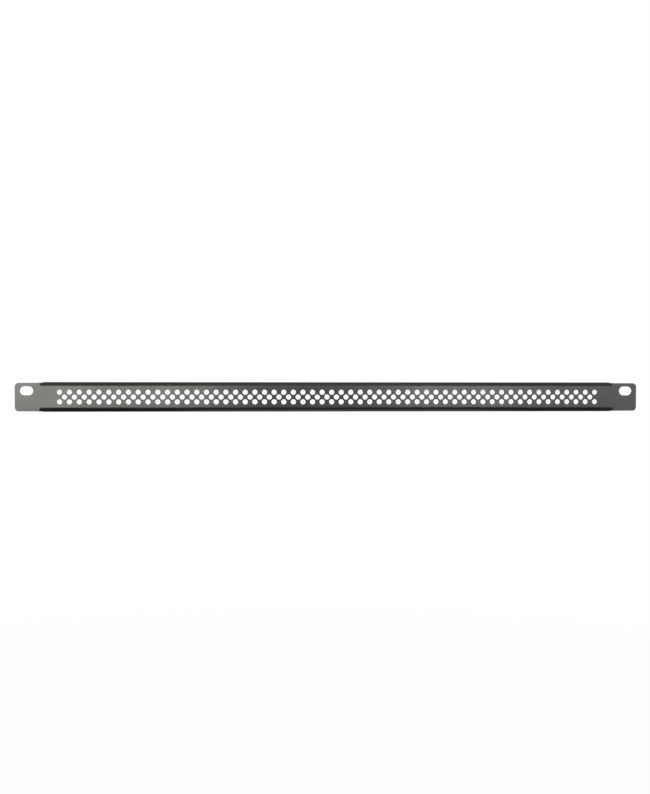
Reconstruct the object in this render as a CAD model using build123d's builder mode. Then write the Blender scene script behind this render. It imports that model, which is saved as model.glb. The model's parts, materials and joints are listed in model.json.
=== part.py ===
"""Half-unit vented blanking panel for a 19-inch equipment rack.

The panel is one strip of sheet steel, punched and folded. Its long middle is a
shallow channel: a perforated face with a flange folded back along its top and its
bottom edge. Past the folds the sheet runs on flat as two ears, each with one slot
for the screw that holds the panel to the rack. Where a fold ends, the edge of the
ear beside it has been pulled round with it, and straightens out over a short run.

The frame has +X along the panel, to the right of someone facing the rack, +Z up,
and -Y out of the rack. The origin is midway between the two slots, on the plane
where the backs of the ears bear on the rack's rails.
"""

import os
from math import cos, degrees, floor, radians, sin

from build123d import *

# Sheet and folds, in millimetres
sheet_thickness = 1.2
bend_inner_radius = 1.8
neutral_share = 0.42  # depth of the unstretched layer from the inside, as a share of the thickness

# Channel between the ears
body_height = 22.75
body_depth = 12.0
flange_corner_radius = 2.0

# Ears
overall_width = 482.6
ear_length = 20.4  # from the end of a fold to the end of the panel
ear_step = 0.53  # how far the folds stand out above and below the ears
ear_corner_radius = 3.0
runout_length = 2.4  # along the panel, from the end of a fold to where the ear is flat
runout_sections = 4

# Mounting slots, one in the upper half of each ear
slot_length = 10.2
slot_height = 7.0
slot_from_end = 8.75  # from the end of the panel to a slot's centre
slot_from_top = 6.05  # from the top of the ear to a slot's centre

# Vents, in staggered rows
vent_diameter = 4.1
vent_sides = 16  # a vent is round to the eye, with this many flats whose corners lie on its circle
vent_bridge = 1.15  # metal left between a vent and its neighbours in the next row
vent_angle = 45.0  # degrees between the panel's length and a diagonal line of vents
vent_rows = 3
vent_end_margin = 12.6  # least distance from the end of a fold to the centre of a vent

# Places that follow from the sizes
front_y = -sheet_thickness
flange_edge_y = body_depth - sheet_thickness
bend_outer_radius = bend_inner_radius + sheet_thickness
bend_start = body_height / 2 - bend_outer_radius  # from mid-height to where a bend begins
body_length = overall_width - 2 * ear_length
ear_height = body_height - 2 * ear_step
slot_spacing = overall_width - 2 * slot_from_end
slot_above_middle = ear_height / 2 - slot_from_top
ear_strip = bend_outer_radius - ear_step  # the part of the ear that lies beyond a bend's start
neutral_radius = bend_inner_radius + neutral_share * sheet_thickness
strip_angle = ear_strip / neutral_radius  # radians of the bend that this strip reaches round

# Spacing of the vents
vent_step = vent_diameter + vent_bridge
vent_pitch = 2 * vent_step * cos(radians(vent_angle))
vent_row_gap = vent_step * sin(radians(vent_angle))
vent_columns = floor((body_length - 2 * vent_end_margin) / vent_pitch) + 1

# Planes at mid-height: across the panel, along its face, and level
across = Plane(origin=(0, 0, -slot_above_middle), x_dir=(0, 1, 0), z_dir=(1, 0, 0))
along = Plane(origin=across.origin, x_dir=(1, 0, 0), z_dir=(0, -1, 0))
level = Plane(origin=across.origin)

with BuildPart() as panel:
    # Upper half of the folded channel, from the middle of the panel to the fold's end
    with BuildSketch(across):
        with BuildLine():
            FilletPolyline(
                (flange_edge_y, body_height / 2),
                (front_y, body_height / 2),
                (front_y, 0),
                radius=bend_outer_radius,
            )
            offset(amount=sheet_thickness, side=Side.LEFT)
        make_face()
    extrude(amount=body_length / 2)

    # Upper half of the flat ear, and the flat sheet that leads to it between the folds
    with BuildSketch(along) as ear:
        with Locations((body_length / 2, 0)):
            Rectangle(runout_length, bend_start, align=(Align.MIN, Align.MIN))
        with Locations((overall_width / 2, 0)):
            Rectangle(ear_length - runout_length, ear_height / 2, align=(Align.MAX, Align.MIN))
        fillet(ear.vertices().group_by(Axis.X)[-1].sort_by(Axis.Y)[-1], radius=ear_corner_radius)
    extrude(amount=sheet_thickness)

    # Run-out: the ear's edge, pulled round at the fold's end and eased out to the flat ear.
    # The strip keeps its width, so its radius grows as it turns through a smaller angle.
    for index in range(runout_sections):
        distance = index / runout_sections
        share = 1 - distance**2 * (3 - 2 * distance)
        turn = strip_angle * share
        inner_radius = ear_strip / turn - neutral_share * sheet_thickness
        with BuildSketch(across.offset(body_length / 2 + distance * runout_length)):
            with BuildLine():
                inside = JernArc((0, bend_start), (0, 1), inner_radius, -degrees(turn))
                outside = JernArc(
                    (front_y, bend_start), (0, 1), inner_radius + sheet_thickness, -degrees(turn)
                )
                Line(inside @ 0, outside @ 0)
                Line(inside @ 1, outside @ 1)
            make_face()
    with BuildSketch(across.offset(body_length / 2 + runout_length)):
        with Locations((front_y, bend_start)):
            Rectangle(sheet_thickness, ear_strip, align=Align.MIN)
    loft()

    # Lower half, then the other end
    mirror(about=level)
    mirror(about=Plane.YZ)

    # Free corners of the flanges
    fillet(panel.edges().filter_by(Axis.Z).group_by(Axis.Y)[-1], radius=flange_corner_radius)

    # Mounting slots
    with BuildSketch(Plane.XZ):
        with GridLocations(slot_spacing, slot_height, 2, 1):
            SlotOverall(slot_length, slot_height)
    extrude(amount=sheet_thickness, mode=Mode.SUBTRACT)

    # Vents: every second row is half a pitch across from its neighbours, and one vent shorter
    with BuildSketch(along):
        for row in range(vent_rows):
            with Locations((0, (row - (vent_rows - 1) / 2) * vent_row_gap)):
                with GridLocations(vent_pitch, vent_row_gap, vent_columns - row % 2, 1):
                    RegularPolygon(vent_diameter / 2, vent_sides, rotation=180 / vent_sides)
    extrude(amount=sheet_thickness, mode=Mode.SUBTRACT)

os.makedirs("parts", exist_ok=True)
panel.part.label = "blanking_panel"
export_step(panel.part, "parts/blanking_panel.step")

print("vents", sum(vent_columns - row % 2 for row in range(vent_rows)))
print("volume", round(panel.part.volume, 1), panel.part.bounding_box())
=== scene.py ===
"""Vented half-unit rack blanking panel: powder-coated steel sheet, studio and camera.

The panel is modelled as its flat blank, with every vent and slot cut in it, and is then
folded. Lengths are in metres. +X runs along the panel, +Z is up and -Y is out of the rack.
"""

import json
from math import cos, floor, pi, radians, sin

import bpy
import numpy as np
from bpy.props import FloatProperty, IntProperty, PointerProperty, StringProperty
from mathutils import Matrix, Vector
from mathutils.geometry import delaunay_2d_cdt


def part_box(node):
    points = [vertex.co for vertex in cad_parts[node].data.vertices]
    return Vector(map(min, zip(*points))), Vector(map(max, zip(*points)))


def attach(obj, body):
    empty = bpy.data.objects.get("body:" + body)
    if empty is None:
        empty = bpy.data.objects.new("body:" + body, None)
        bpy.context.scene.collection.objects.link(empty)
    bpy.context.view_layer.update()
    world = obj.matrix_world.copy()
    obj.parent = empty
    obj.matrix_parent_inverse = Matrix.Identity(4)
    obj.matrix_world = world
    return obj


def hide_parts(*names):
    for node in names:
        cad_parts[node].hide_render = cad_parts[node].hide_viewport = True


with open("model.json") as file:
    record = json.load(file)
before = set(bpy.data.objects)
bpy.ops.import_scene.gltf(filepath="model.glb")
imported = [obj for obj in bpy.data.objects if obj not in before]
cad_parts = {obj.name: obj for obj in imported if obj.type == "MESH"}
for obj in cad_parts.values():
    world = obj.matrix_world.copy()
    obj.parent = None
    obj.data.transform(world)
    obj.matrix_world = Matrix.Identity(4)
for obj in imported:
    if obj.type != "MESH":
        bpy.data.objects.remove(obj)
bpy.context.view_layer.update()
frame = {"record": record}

bl_info = {
    "name": "Vented Rack Blanking Panel",
    "version": (1, 0, 0),
    "blender": (4, 5, 0),
    "location": "3D View > Sidebar > Rack Panel",
    "description": "Folds, coats and lights a vented half-unit rack blanking panel",
    "category": "Mesh",
}

MM = 0.001
NODE = "blanking_panel"
LOW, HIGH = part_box(NODE)
SLOTS = next(mount for mount in frame["record"]["mounts"] if mount["name"] == "rack_slots")

# Fineness of the meshes
BEND_SAMPLES = 64  # places at which the sum along a bend is taken
CORNER_STEPS = 8  # straight steps round a corner of the blank
CARD_STEPS = 24  # straight steps round a curved card
FLOOR_STEPS = 64  # straight steps round the floor's rim
MERGE_DISTANCE = 1e-7  # points of the blank that are closer than this are one
NUDGE = 1e-6  # distance over which the sheet's directions are measured

# Coat
NOISE_RANGE = {"From Min": 0.3, "From Max": 0.7}  # where nearly all values of a noise lie
GLOSS_DRIFT = 30 * MM  # width of a patch in which the melted powder flowed alike

# Front softboxes, side by side: name, which strength they take, and their ends along the panel
SOFTBOX_FRONT = -0.85
SOFTBOX_HEIGHTS = (-0.2, 0.3)
SOFTBOXES = (
    ("left_softbox", "left", -0.7, -0.306),
    ("inner_softbox", "left", -0.276, -0.119),
    ("middle_softbox", "middle", -0.119, 0.15),
    ("right_softbox", "right", 0.15, 0.358),
    ("right_end", "right_end", 0.358, 0.75),
)
BACK_SOFTBOX = ((-0.6, 1.2, 0.4), (0.6, 1.2, 1.0))
BACK_TILT = radians(-60)

# Glowing cards round the panel, which only the coat's gloss shows, as painted bright and dark
# reflections: name, which colour they take, share of the cards' distance, their ends along the
# panel, and the elevations in degrees between which they reach, as seen from the panel
WHOLE = (-0.39, 0.48)
MIDDLE = (-0.14, 0.27)
CARDS = (
    ("upper_reflection_card", "upper_reflection_card", 1.0, WHOLE, (13, 100)),
    ("upper_reflection_bar", "upper_reflection_bar", 0.99, MIDDLE, (13, 80)),
    ("upper_grey_reflection_flag", "grey_reflection_flag", 1.0, WHOLE, (100, 175)),
    ("lower_dark_reflection_flag", "dark_reflection_flag", 1.0, WHOLE, (-6.5, -110)),
    ("rear_grey_reflection_flag", "grey_reflection_flag", 1.0, WHOLE, (-110, -175)),
    ("middle_dark_reflection_flag", "dark_reflection_flag", 0.99, (-0.32, 0.43), (-5.2, -60)),
    ("lower_dark_reflection_bar", "dark_reflection_flag", 0.98, MIDDLE, (-3.8, -60)),
    ("lower_reflection_card", "lower_reflection_card", 0.97, MIDDLE, (-40, -135)),
)

# Floor: its radius, how far from its middle it fades out, and how white it is to the eye
FLOOR_RADIUS = 2.5
FLOOR_FADE = {"From Min": 0.6, "From Max": FLOOR_RADIUS * 0.95}
FLOOR_WHITE_SHARE = 0.85

# Camera: the photograph's height and the focal length that its perspective gives, in pixels
IMAGE_HEIGHT = 794
FOCAL_PIXELS = 1000.0
SENSOR_SIZE = 36.0
CAMERA_PLACE = (-55.76 * MM, -773.87 * MM, 14.47 * MM)
CAMERA_TURN = (radians(90 - 1.423), radians(-0.082), radians(-3.741))


def length(name, millimetres, description):
    """A length that a user can change, given in millimetres."""
    return FloatProperty(
        name=name, description=description, default=millimetres * MM, min=0.0, precision=5, unit="LENGTH"
    )


def colour(name, code, description):
    """A colour that a user can change, given as its sRGB hex code."""
    return StringProperty(name=name, description=description, default=code, maxlen=7)


def linear(code):
    """The linear colour of an sRGB hex code."""
    channels = [int(code[place : place + 2], 16) / 255 for place in (1, 3, 5)]
    return [c / 12.92 if c <= 0.04045 else ((c + 0.055) / 1.055) ** 2.4 for c in channels]


class PanelSizes(bpy.types.PropertyGroup):
    """Sizes of the sheet that the frame doesn't give."""

    bend_radius: length("Bend radius", 1.8, "Radius inside each fold")
    bend_ease: length("Bend ease", 0.9, "How far the sheet turns softly before and after each fold")
    neutral_share: FloatProperty(
        name="Neutral layer",
        description="Depth of the unstretched layer from the inside of a bend, as a share of the sheet",
        default=0.42,
        subtype="FACTOR",
    )
    flange_corner: length("Flange corner", 2.0, "Radius of the flanges' free corners")
    ear_length: length("Ear length", 20.4, "From the end of a fold to the end of the panel")
    ear_step: length("Ear step", 0.53, "How far the folds stand out above and below the ears")
    ear_corner: length("Ear corner", 3.0, "Radius of the ears' corners")
    notch_corner: length("Notch corner", 0.3, "Radius left by the punch where a fold ends at the ear")
    runout: length("Run-out", 2.4, "From the end of a fold to where the ear is flat")
    vent_diameter: length("Vent", 4.0, "Diameter of a vent inside its coat")
    vent_bridge: length("Bridge", 1.25, "Metal between a vent and its neighbours in the next row")
    vent_angle: FloatProperty(
        name="Vent angle",
        description="Between the panel's length and a diagonal line of vents",
        default=radians(45),
        subtype="ANGLE",
    )
    vent_rows: IntProperty(name="Vent rows", description="Rows of vents", default=3, min=1)
    vent_end_margin: length("Vent margin", 12.6, "Least distance from a fold's end to a vent's centre")
    rim: length("Rim", 0.16, "Radius that the coat gives to every punched edge")
    vent_steps: IntProperty(name="Vent steps", description="Straight steps round a vent", default=40)
    bend_steps: IntProperty(name="Bend steps", description="Straight steps round a fold", default=28)
    runout_steps: IntProperty(name="Run-out steps", description="Steps along a run-out", default=8)
    rim_steps: IntProperty(name="Rim steps", description="Steps round each edge of a rim", default=2)


class CoatLook(bpy.types.PropertyGroup):
    """Looks of the powder coat."""

    coat_colour: colour("Colour", "#0e0e0d", "Black of the powder coat")
    roughness: FloatProperty(name="Roughness", description="Satin gloss", default=0.22, subtype="FACTOR")
    uneven: FloatProperty(name="Unevenness", description="How far the gloss varies", default=0.04)
    peel_width: length("Orange peel", 1.3, "Width of one bump of the orange peel")
    peel_depth: length("Peel depth", 0.0045, "Depth of the orange peel")


class StudioLook(bpy.types.PropertyGroup):
    """Lights, floor and background."""

    fill: FloatProperty(name="Fill", description="Strength of the white world as a light", default=0.7)
    left: FloatProperty(name="Left softboxes", description="Radiance of the left softboxes", default=5.95)
    middle: FloatProperty(name="Middle softbox", description="Radiance of the middle softbox", default=0.6)
    right: FloatProperty(name="Right softbox", description="Radiance of the right softbox", default=4.75)
    right_end: FloatProperty(name="Right end", description="Radiance past the right softbox", default=1.8)
    back: FloatProperty(name="Back softbox", description="Radiance of the softbox behind", default=3.0)
    lamp_colour: colour("Lamp colour", "#fffdf7", "Slightly warm white of the lamps")
    card_distance: length("Card distance", 600, "From the panel to the cards held round it")
    # Colours that the glowing cards show only in the coat's gloss, as painted reflections
    upper_reflection_card: colour("Upper card", "#d4d4d3", "Pale card above, which the upper fold reflects")
    upper_reflection_bar: colour("Upper bar", "#ffffff", "White card above the middle")
    lower_reflection_card: colour("Lower card", "#e8e8e6", "Pale card below the middle, which the lower fold reflects")
    grey_reflection_flag: colour("Grey flag", "#9a9a9a", "Grey cards behind, which keep the panel's edges dark")
    dark_reflection_flag: colour("Black flag", "#1c1c1c", "Dark cards below, which the lower fold reflects")
    floor_colour: colour("Floor", "#f4f4f4", "Pale floor")
    floor_drop: length("Floor drop", 650, "From the rack slots down to the floor")


class Sheet:
    """Places on the sheet, worked out from the frame's box and mounts and from the chosen sizes."""

    def __init__(self, sizes):
        self.sizes = sizes
        self.thickness = -LOW.y
        self.middle = (LOW.z + HIGH.z) / 2
        self.panel_end = HIGH.x
        self.fold_end = self.panel_end - sizes.ear_length
        self.ear_top = (HIGH.z - LOW.z) / 2 - sizes.ear_step
        self.neutral_depth = sizes.neutral_share * self.thickness
        self.arc_width = (sizes.bend_radius + self.neutral_depth) * pi / 2
        self.bend_width = self.arc_width + 2 * sizes.bend_ease
        # How far a whole bend takes the unstretched layer, which is the same up as back
        bend_reach = bend_path(self, np.array([self.bend_width]), np.ones(1))[0][0]
        self.bend_start = (HIGH.z - LOW.z) / 2 - self.thickness + self.neutral_depth - bend_reach
        self.blank_top = self.bend_start + self.bend_width + HIGH.y + self.neutral_depth - bend_reach
        self.slot_reach = (SLOTS["dims"]["slot_length_mm"] / 2 - SLOTS["dims"]["hole_r_mm"]) * MM
        self.vent_pitch = 2 * (sizes.vent_diameter + sizes.vent_bridge) * cos(sizes.vent_angle)
        self.row_gap = (sizes.vent_diameter + sizes.vent_bridge) * sin(sizes.vent_angle)


def bend_angle(sheet, distance):
    """Angle of a full fold at a distance from where the sheet begins to turn.

    It is a plain arc's angle, averaged over the ease to both sides, so the turn has no sudden start.
    """
    width = sheet.arc_width
    span = 2 * sheet.sizes.bend_ease

    def summed(reach):
        return np.clip(reach, 0, width) ** 2 / (2 * width) + np.maximum(reach - width, 0)

    return pi / 2 * (summed(distance) - summed(distance - span)) / span


def bend_path(sheet, distance, share):
    """How far the unstretched layer goes up and back over a distance into a fold of some share."""
    middles = (np.arange(BEND_SAMPLES) + 0.5) / BEND_SAMPLES
    turn = share[:, None] * bend_angle(sheet, distance[:, None] * middles)
    return distance * np.cos(turn).mean(axis=1), distance * np.sin(turn).mean(axis=1)


def fold(blank, sheet):
    """Where points of the blank (along, across, height above its rear face) lie once it is folded.

    Past a fold's end the bend eases out: its angle falls to nothing over the run-out.
    """
    along, across, height = blank.T
    progress = np.clip((np.abs(along) - sheet.fold_end) / sheet.sizes.runout, 0, 1)
    share = 1 - progress**2 * (3 - 2 * progress)
    past_start = np.maximum(np.abs(across) - sheet.bend_start, 0)
    in_bend = np.minimum(past_start, sheet.bend_width)
    turn = share * bend_angle(sheet, in_bend)
    rise, retreat = bend_path(sheet, in_bend, share)
    beyond = past_start - in_bend
    outside = height - sheet.neutral_depth
    up = np.minimum(np.abs(across), sheet.bend_start) + rise + beyond * np.cos(turn) + outside * np.sin(turn)
    back = retreat + beyond * np.sin(turn) - outside * np.cos(turn) - sheet.neutral_depth
    return np.stack([along, back, np.sign(across) * up + sheet.middle], axis=1)


def outline(sheet, inset):
    """Edge of the blank, anticlockwise, moved inwards by the inset."""
    sizes = sheet.sizes
    quarter = [
        (sheet.panel_end - inset, sheet.ear_top - inset, sizes.ear_corner - inset),
        (sheet.fold_end - inset, sheet.ear_top - inset, sizes.notch_corner + inset),
        (sheet.fold_end - inset, sheet.blank_top - inset, sizes.flange_corner - inset),
    ]
    corners = quarter + [(-x, y, radius) for x, y, radius in reversed(quarter)]
    corners += [(-x, -y, radius) for x, y, radius in quarter]
    corners += [(x, -y, radius) for x, y, radius in reversed(quarter)]
    points = []
    for index, (x, y, radius) in enumerate(corners):
        corner = Vector((x, y))
        before = (Vector(corners[index - 1][:2]) - corner).normalized()
        after = (Vector(corners[(index + 1) % len(corners)][:2]) - corner).normalized()
        centre = corner + (before + after) * radius
        for step in range(CORNER_STEPS + 1):
            turn = pi / 2 * step / CORNER_STEPS
            points.append(centre - after * radius * cos(turn) - before * radius * sin(turn))
    return points


def hole(centre, radius, reach, steps):
    """A round hole, or a slot whose ends' centres lie a reach from its middle, anticlockwise.

    Its points start half a step round, so that none lies where a slot's two ends part.
    """
    points = []
    for step in range(steps):
        turn = 2 * pi * (step + 0.5) / steps
        side = reach if cos(turn) > 0 else -reach
        points.append(centre + Vector((side + radius * cos(turn), radius * sin(turn))))
    return points


def holes(sheet, inset):
    """Every vent and both slots, grown by the inset."""
    sizes = sheet.sizes
    columns = floor(2 * (sheet.fold_end - sizes.vent_end_margin) / sheet.vent_pitch) + 1
    found = []
    for row in range(sizes.vent_rows):
        count = columns - row % 2
        for column in range(count):
            x = (column - (count - 1) / 2) * sheet.vent_pitch
            y = (row - (sizes.vent_rows - 1) / 2) * sheet.row_gap
            found.append(hole(Vector((x, y)), sizes.vent_diameter / 2 + inset, 0, sizes.vent_steps))
    slot_radius = SLOTS["dims"]["hole_r_mm"] * MM
    for side in (-1, 1):
        centre = Vector((side * SLOTS["dims"]["spacing_x_mm"] / 2 * MM, -sheet.middle))
        found.append(hole(centre, slot_radius + inset, sheet.slot_reach, 2 * sizes.vent_steps))
    return found


def bend_lines(sheet, inset):
    """Lines of points on the blank along which the sheet bends."""
    sizes = sheet.sizes
    # Two columns of points to each vent
    columns = round(4 * sheet.fold_end / sheet.vent_pitch)
    spread = np.linspace(-sheet.fold_end, sheet.fold_end, columns + 1)
    run = sheet.fold_end + np.linspace(0, sizes.runout, sizes.runout_steps + 1)
    on_ear = [*-run[:0:-1], *spread, *run[1:]]
    on_flange = [-sheet.fold_end + inset, *spread[1:-1], sheet.fold_end - inset]
    levels = sheet.bend_start + np.linspace(0, sheet.bend_width, sizes.bend_steps + 1)
    ear_edge = sheet.ear_top - inset
    lines = []
    for side in (-1, 1):
        for level in levels:
            lines.append([Vector((x, side * level)) for x in (on_ear if level < ear_edge else on_flange)])
        rungs = [level for level in levels if level < ear_edge] + [ear_edge]
        for x in run[1:]:
            lines.append([Vector((x, side * level)) for level in rungs])
            lines.append([Vector((-x, side * level)) for level in rungs])
    for x in (run[-1], -run[-1]):
        lines.append([Vector((x, -sheet.bend_start)), Vector((x, sheet.bend_start))])
    return lines


def flat_mesh(sheet):
    """Triangles of the flat blank, short of its rims, and the edges that bound them."""
    loops = [outline(sheet, sheet.sizes.rim)] + holes(sheet, sheet.sizes.rim)
    points = []
    edges = []
    loop_faces = []
    for loop in loops:
        loop_faces.append(list(range(len(points), len(points) + len(loop))))
        points += loop
    for line in bend_lines(sheet, sheet.sizes.rim):
        edges += [(len(points) + step, len(points) + step + 1) for step in range(len(line) - 1)]
        points += line
    corners, _, triangles, _, _, origins = delaunay_2d_cdt(points, edges, loop_faces, 0, MERGE_DISTANCE)
    kept = [triangle for triangle, origin in zip(triangles, origins) if origin == [0]]
    sides = {(a, b) for t in kept for a, b in zip(t, t[1:] + t[:1])}
    boundary = [(a, b) for a, b in sides if (b, a) not in sides]
    return corners, kept, sorted(boundary)


def outward_steps(corners, boundary):
    """For each point of the boundary, the step that moves both its edges outwards by one."""
    following = dict(boundary)
    leading = {b: a for a, b in boundary}
    steps = {}
    for point in following:
        before = (corners[point] - corners[leading[point]]).normalized()
        after = (corners[following[point]] - corners[point]).normalized()
        total = Vector((before.y + after.y, -before.x - after.x))
        steps[point] = total * 2 / total.length_squared
    return steps


def directions(blank, sheet):
    """Along, across and outward directions of the folded sheet at points of the blank."""
    along = fold(blank + [NUDGE, 0, 0], sheet) - fold(blank - [NUDGE, 0, 0], sheet)
    across = fold(blank + [0, NUDGE, 0], sheet) - fold(blank - [0, NUDGE, 0], sheet)
    along /= np.linalg.norm(along, axis=1)[:, None]
    across /= np.linalg.norm(across, axis=1)[:, None]
    outward = np.cross(along, across)
    return along, across, outward / np.linalg.norm(outward, axis=1)[:, None]


def panel_mesh(sheet):
    """The folded panel: two faces of the sheet joined by rounded rims."""
    corners, triangles, boundary = flat_mesh(sheet)
    steps = outward_steps(corners, boundary)
    rim = sheet.sizes.rim
    thickness = sheet.thickness
    count = len(corners)
    blank = [(p.x, p.y, thickness) for p in corners] + [(p.x, p.y, 0) for p in corners]
    tilt = [(0, 0, 1)] * count + [(0, 0, -1)] * count
    quarter = np.linspace(0, pi / 2, sheet.sizes.rim_steps + 1)
    # Round the rim, from front to rear: how far out, at which height, and how far the surface turns
    profile = [(rim * sin(t), thickness - rim * (1 - cos(t)), t) for t in quarter[1:]]
    profile += [(rim * sin(t), rim * (1 - cos(t)), pi - t) for t in quarter[:0:-1]]
    rows = {}
    for point, step in steps.items():
        rows[point] = [point, *range(len(blank), len(blank) + len(profile)), point + count]
        for out, height, turn in profile:
            blank.append((corners[point].x + step.x * out, corners[point].y + step.y * out, height))
            tilt.append((step.x * sin(turn), step.y * sin(turn), cos(turn)))
    faces = [tuple(t) for t in triangles] + [tuple(i + count for i in reversed(t)) for t in triangles]
    for a, b in boundary:
        for near in range(len(profile) + 1):
            faces.append((rows[a][near], rows[a][near + 1], rows[b][near + 1], rows[b][near]))
    blank = np.array(blank)
    tilt = np.array(tilt)
    along, across, outward = directions(blank, sheet)
    normals = tilt[:, :1] * along + tilt[:, 1:2] * across + tilt[:, 2:] * outward
    mesh = bpy.data.meshes.new("vented_panel")
    mesh.from_pydata(fold(blank, sheet).tolist(), [], faces)
    mesh.validate()
    mesh.shade_smooth()
    mesh.normals_split_custom_set_from_vertices(normals / np.linalg.norm(normals, axis=1)[:, None])
    return mesh


def add_node(tree, kind, settings=None, links=None):
    """Adds a shader node, sets its inputs or properties and links what feeds its inputs."""
    node = tree.nodes.new(kind)
    for name, value in (settings or {}).items():
        if isinstance(name, int) or name in node.inputs:
            node.inputs[name].default_value = value
        else:
            setattr(node, name, value)
    for name, source in (links or {}).items():
        tree.links.new(source, node.inputs[name])
    return node


def new_material(name):
    """A material with an empty node tree."""
    material = bpy.data.materials.new(name)
    material.use_nodes = True
    material.node_tree.nodes.clear()
    return material


def satin_powder_coat(look):
    """Black polyester powder coat, sprayed dry on steel and baked: satin, with fine orange peel.

    The peel breaks the softboxes' reflection into a fine grain and softens its edges. Its bumps
    have the width of real ones.
    """
    material = new_material("satin_black_powder_coat")
    tree = material.node_tree
    place = add_node(tree, "ShaderNodeTexCoord").outputs["Object"]
    peel = add_node(
        tree,
        "ShaderNodeTexNoise",
        {"Scale": 1 / look.peel_width, "Detail": 2.0, "Roughness": 0.45},
        {"Vector": place},
    )
    drift = add_node(tree, "ShaderNodeTexNoise", {"Scale": 1 / GLOSS_DRIFT, "Detail": 1.0}, {"Vector": place})
    glossiest = look.roughness - look.uneven
    dullest = look.roughness + look.uneven
    gloss = add_node(
        tree,
        "ShaderNodeMapRange",
        {**NOISE_RANGE, "To Min": glossiest, "To Max": dullest},
        {"Value": drift.outputs["Fac"]},
    )
    bump = add_node(tree, "ShaderNodeBump", {"Distance": look.peel_depth}, {"Height": peel.outputs["Fac"]})
    coat = add_node(
        tree,
        "ShaderNodeBsdfPrincipled",
        {"Base Color": (*linear(look.coat_colour), 1.0), "IOR": 1.5},
        {"Roughness": gloss.outputs["Result"], "Normal": bump.outputs["Normal"]},
    )
    add_node(tree, "ShaderNodeOutputMaterial", links={"Surface": coat.outputs["BSDF"]})
    return material


class RACKPANEL_OT_fold_panel(bpy.types.Operator):
    """Cut, fold and coat the panel in place of its plain node"""

    bl_idname = "rack_panel.fold_panel"
    bl_label = "Fold Panel"

    def execute(self, context):
        scene = context.scene
        mesh = panel_mesh(Sheet(scene.rack_panel_sizes))
        mesh.materials.append(satin_powder_coat(scene.rack_panel_coat))
        panel = bpy.data.objects.new("vented_panel", mesh)
        scene.collection.objects.link(panel)
        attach(panel, "root")
        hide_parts(NODE)
        return {"FINISHED"}


def seen_share(tree):
    """One for rays that show the surroundings: camera, glossy and transmission rays."""
    path = add_node(tree, "ShaderNodeLightPath")
    first = add_node(
        tree,
        "ShaderNodeMath",
        {"operation": "MAXIMUM"},
        {0: path.outputs["Is Camera Ray"], 1: path.outputs["Is Glossy Ray"]},
    )
    second = add_node(
        tree,
        "ShaderNodeMath",
        {"operation": "MAXIMUM"},
        {0: first.outputs[0], 1: path.outputs["Is Transmission Ray"]},
    )
    return second.outputs[0]


def white_world(scene, studio):
    """White round the object: full strength where it is seen, the fill's strength where it lights."""
    world = bpy.data.worlds.new("white_studio")
    scene.world = world
    world.use_nodes = True
    tree = world.node_tree
    tree.nodes.clear()
    strength = add_node(
        tree, "ShaderNodeMapRange", {"To Min": studio.fill, "To Max": 1.0}, {"Value": seen_share(tree)}
    )
    glow = add_node(
        tree, "ShaderNodeBackground", {"Color": (1, 1, 1, 1)}, {"Strength": strength.outputs["Result"]}
    )
    add_node(tree, "ShaderNodeOutputWorld", links={"Surface": glow.outputs["Background"]})
    # The cards hide the world from glossy rays alone, so no light is sampled from it directly
    world.cycles.sampling_method = "NONE"


def softbox(scene, name, low, high, radiance, code):
    """A flat softbox that faces the panel's front: its low and high corners share one y."""
    lamp = bpy.data.lights.new(name, "AREA")
    lamp.shape = "RECTANGLE"
    lamp.size = high[0] - low[0]
    lamp.size_y = high[2] - low[2]
    lamp.energy = radiance * pi * lamp.size * lamp.size_y
    lamp.color = linear(code)
    box = bpy.data.objects.new(name, lamp)
    box.location = [(a + b) / 2 for a, b in zip(low, high)]
    box.rotation_euler = (pi / 2, 0, 0)
    box.visible_camera = False
    scene.collection.objects.link(box)
    return box


def painted_reflection_glow(name, code):
    """Glowing card, no lamp: it paints a reflection of its own colour, whatever the lamps do to it."""
    material = new_material(name)
    tree = material.node_tree
    face = add_node(tree, "ShaderNodeEmission", {"Color": (*linear(code), 1.0), "Strength": 1.0})
    add_node(tree, "ShaderNodeOutputMaterial", links={"Surface": face.outputs["Emission"]})
    return material


def curved_card(scene, name, radius, ends, elevations, code):
    """A glowing card curved round the panel between two elevations: a painted reflection in the coat's gloss
    alone.
    """
    first, last = (radians(angle) for angle in elevations)
    points = []
    for step in range(CARD_STEPS + 1):
        turn = first + (last - first) * step / CARD_STEPS
        for x in ends:
            points.append((x, -radius * cos(turn), radius * sin(turn)))
    faces = [(2 * step, 2 * step + 1, 2 * step + 3, 2 * step + 2) for step in range(CARD_STEPS)]
    mesh = bpy.data.meshes.new(name)
    mesh.from_pydata(points, [], faces)
    mesh.materials.append(painted_reflection_glow(name, code))
    card = bpy.data.objects.new(name, mesh)
    card.visible_camera = False
    card.visible_diffuse = False
    card.visible_transmission = False
    card.visible_shadow = False
    scene.collection.objects.link(card)


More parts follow.
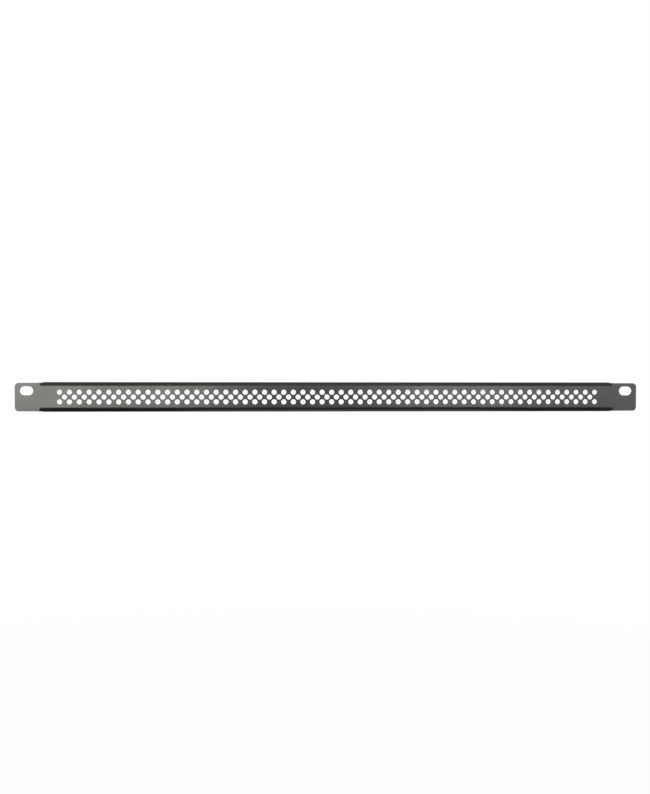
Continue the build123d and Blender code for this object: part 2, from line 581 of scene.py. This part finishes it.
def pale_floor(scene, studio):
    """A round pale floor below the panel that fades out into the white round it."""
    turns = [2 * pi * step / FLOOR_STEPS for step in range(FLOOR_STEPS)]
    rim = [(FLOOR_RADIUS * cos(turn), FLOOR_RADIUS * sin(turn), 0) for turn in turns]
    mesh = bpy.data.meshes.new("floor")
    mesh.from_pydata(rim, [], [tuple(range(FLOOR_STEPS))])
    material = new_material("matte_painted_floor")
    tree = material.node_tree
    paint = add_node(tree, "ShaderNodeBsdfDiffuse", {"Color": (*linear(studio.floor_colour), 1.0)})
    white = add_node(tree, "ShaderNodeEmission", {"Color": (1, 1, 1, 1), "Strength": 1.0})
    clear = add_node(tree, "ShaderNodeBsdfTransparent")
    seen = add_node(
        tree, "ShaderNodeMapRange", {"To Max": FLOOR_WHITE_SHARE}, {"Value": seen_share(tree)}
    )
    lit = add_node(
        tree,
        "ShaderNodeMixShader",
        {},
        {0: seen.outputs["Result"], 1: paint.outputs["BSDF"], 2: white.outputs["Emission"]},
    )
    place = add_node(tree, "ShaderNodeTexCoord").outputs["Object"]
    distance = add_node(tree, "ShaderNodeVectorMath", {"operation": "LENGTH"}, {0: place})
    fade = add_node(
        tree,
        "ShaderNodeMapRange",
        {"interpolation_type": "SMOOTHSTEP", **FLOOR_FADE},
        {"Value": distance.outputs["Value"]},
    )
    surface = add_node(
        tree,
        "ShaderNodeMixShader",
        {},
        {0: fade.outputs["Result"], 1: lit.outputs["Shader"], 2: clear.outputs["BSDF"]},
    )
    add_node(tree, "ShaderNodeOutputMaterial", links={"Surface": surface.outputs["Shader"]})
    mesh.materials.append(material)
    ground = bpy.data.objects.new("floor", mesh)
    ground.location.z = -studio.floor_drop
    scene.collection.objects.link(ground)


def photo_camera(scene):
    """The photograph's camera: a little above the panel and left of its middle, turned to the right."""
    camera = bpy.data.objects.new("camera", bpy.data.cameras.new("camera"))
    camera.data.sensor_width = SENSOR_SIZE
    camera.data.lens = FOCAL_PIXELS * SENSOR_SIZE / IMAGE_HEIGHT
    camera.location = CAMERA_PLACE
    camera.rotation_euler = CAMERA_TURN
    scene.collection.objects.link(camera)
    scene.camera = camera


class RACKPANEL_OT_set_stage(bpy.types.Operator):
    """Set the lights, cards, floor, background and camera"""

    bl_idname = "rack_panel.set_stage"
    bl_label = "Set Stage"

    def execute(self, context):
        scene = context.scene
        studio = scene.rack_panel_studio
        white_world(scene, studio)
        for name, strength, left, right in SOFTBOXES:
            low, high = ((x, SOFTBOX_FRONT, z) for x, z in zip((left, right), SOFTBOX_HEIGHTS))
            softbox(scene, name, low, high, getattr(studio, strength), studio.lamp_colour)
        behind = softbox(scene, "back_softbox", *BACK_SOFTBOX, studio.back, studio.lamp_colour)
        behind.rotation_euler = (BACK_TILT, 0, 0)
        # Glowing cards, seen only in the coat's gloss as painted reflections
        for name, reflection_colour, share, ends, elevations in CARDS:
            radius = studio.card_distance * share
            curved_card(scene, name, radius, ends, elevations, getattr(studio, reflection_colour))
        pale_floor(scene, studio)
        photo_camera(scene)
        scene.view_settings.view_transform = "Standard"
        return {"FINISHED"}


class RACKPANEL_PT_sidebar(bpy.types.Panel):
    """Sizes and looks of the panel, and the steps that build it"""

    bl_idname = "RACKPANEL_PT_sidebar"
    bl_label = "Rack Panel"
    bl_space_type = "VIEW_3D"
    bl_region_type = "UI"
    bl_category = "Rack Panel"

    def draw(self, context):
        scene = context.scene
        groups = (
            (scene.rack_panel_sizes, RACKPANEL_OT_fold_panel),
            (scene.rack_panel_coat, RACKPANEL_OT_fold_panel),
            (scene.rack_panel_studio, RACKPANEL_OT_set_stage),
        )
        for group, operator in groups:
            box = self.layout.box()
            for name in group.bl_rna.properties.keys():
                if name not in ("rna_type", "name"):
                    box.prop(group, name)
            box.operator(operator.bl_idname)


GROUPS = {
    "rack_panel_sizes": PanelSizes,
    "rack_panel_coat": CoatLook,
    "rack_panel_studio": StudioLook,
}
CLASSES = (*GROUPS.values(), RACKPANEL_OT_fold_panel, RACKPANEL_OT_set_stage, RACKPANEL_PT_sidebar)


def register():
    for found in CLASSES:
        bpy.utils.register_class(found)
    for name, group in GROUPS.items():
        setattr(bpy.types.Scene, name, PointerProperty(type=group))


def unregister():
    for name in GROUPS:
        delattr(bpy.types.Scene, name)
    for found in reversed(CLASSES):
        bpy.utils.unregister_class(found)


def main():
    register()
    bpy.ops.rack_panel.fold_panel()
    bpy.ops.rack_panel.set_stage()


if __name__ == "__main__":
    main()
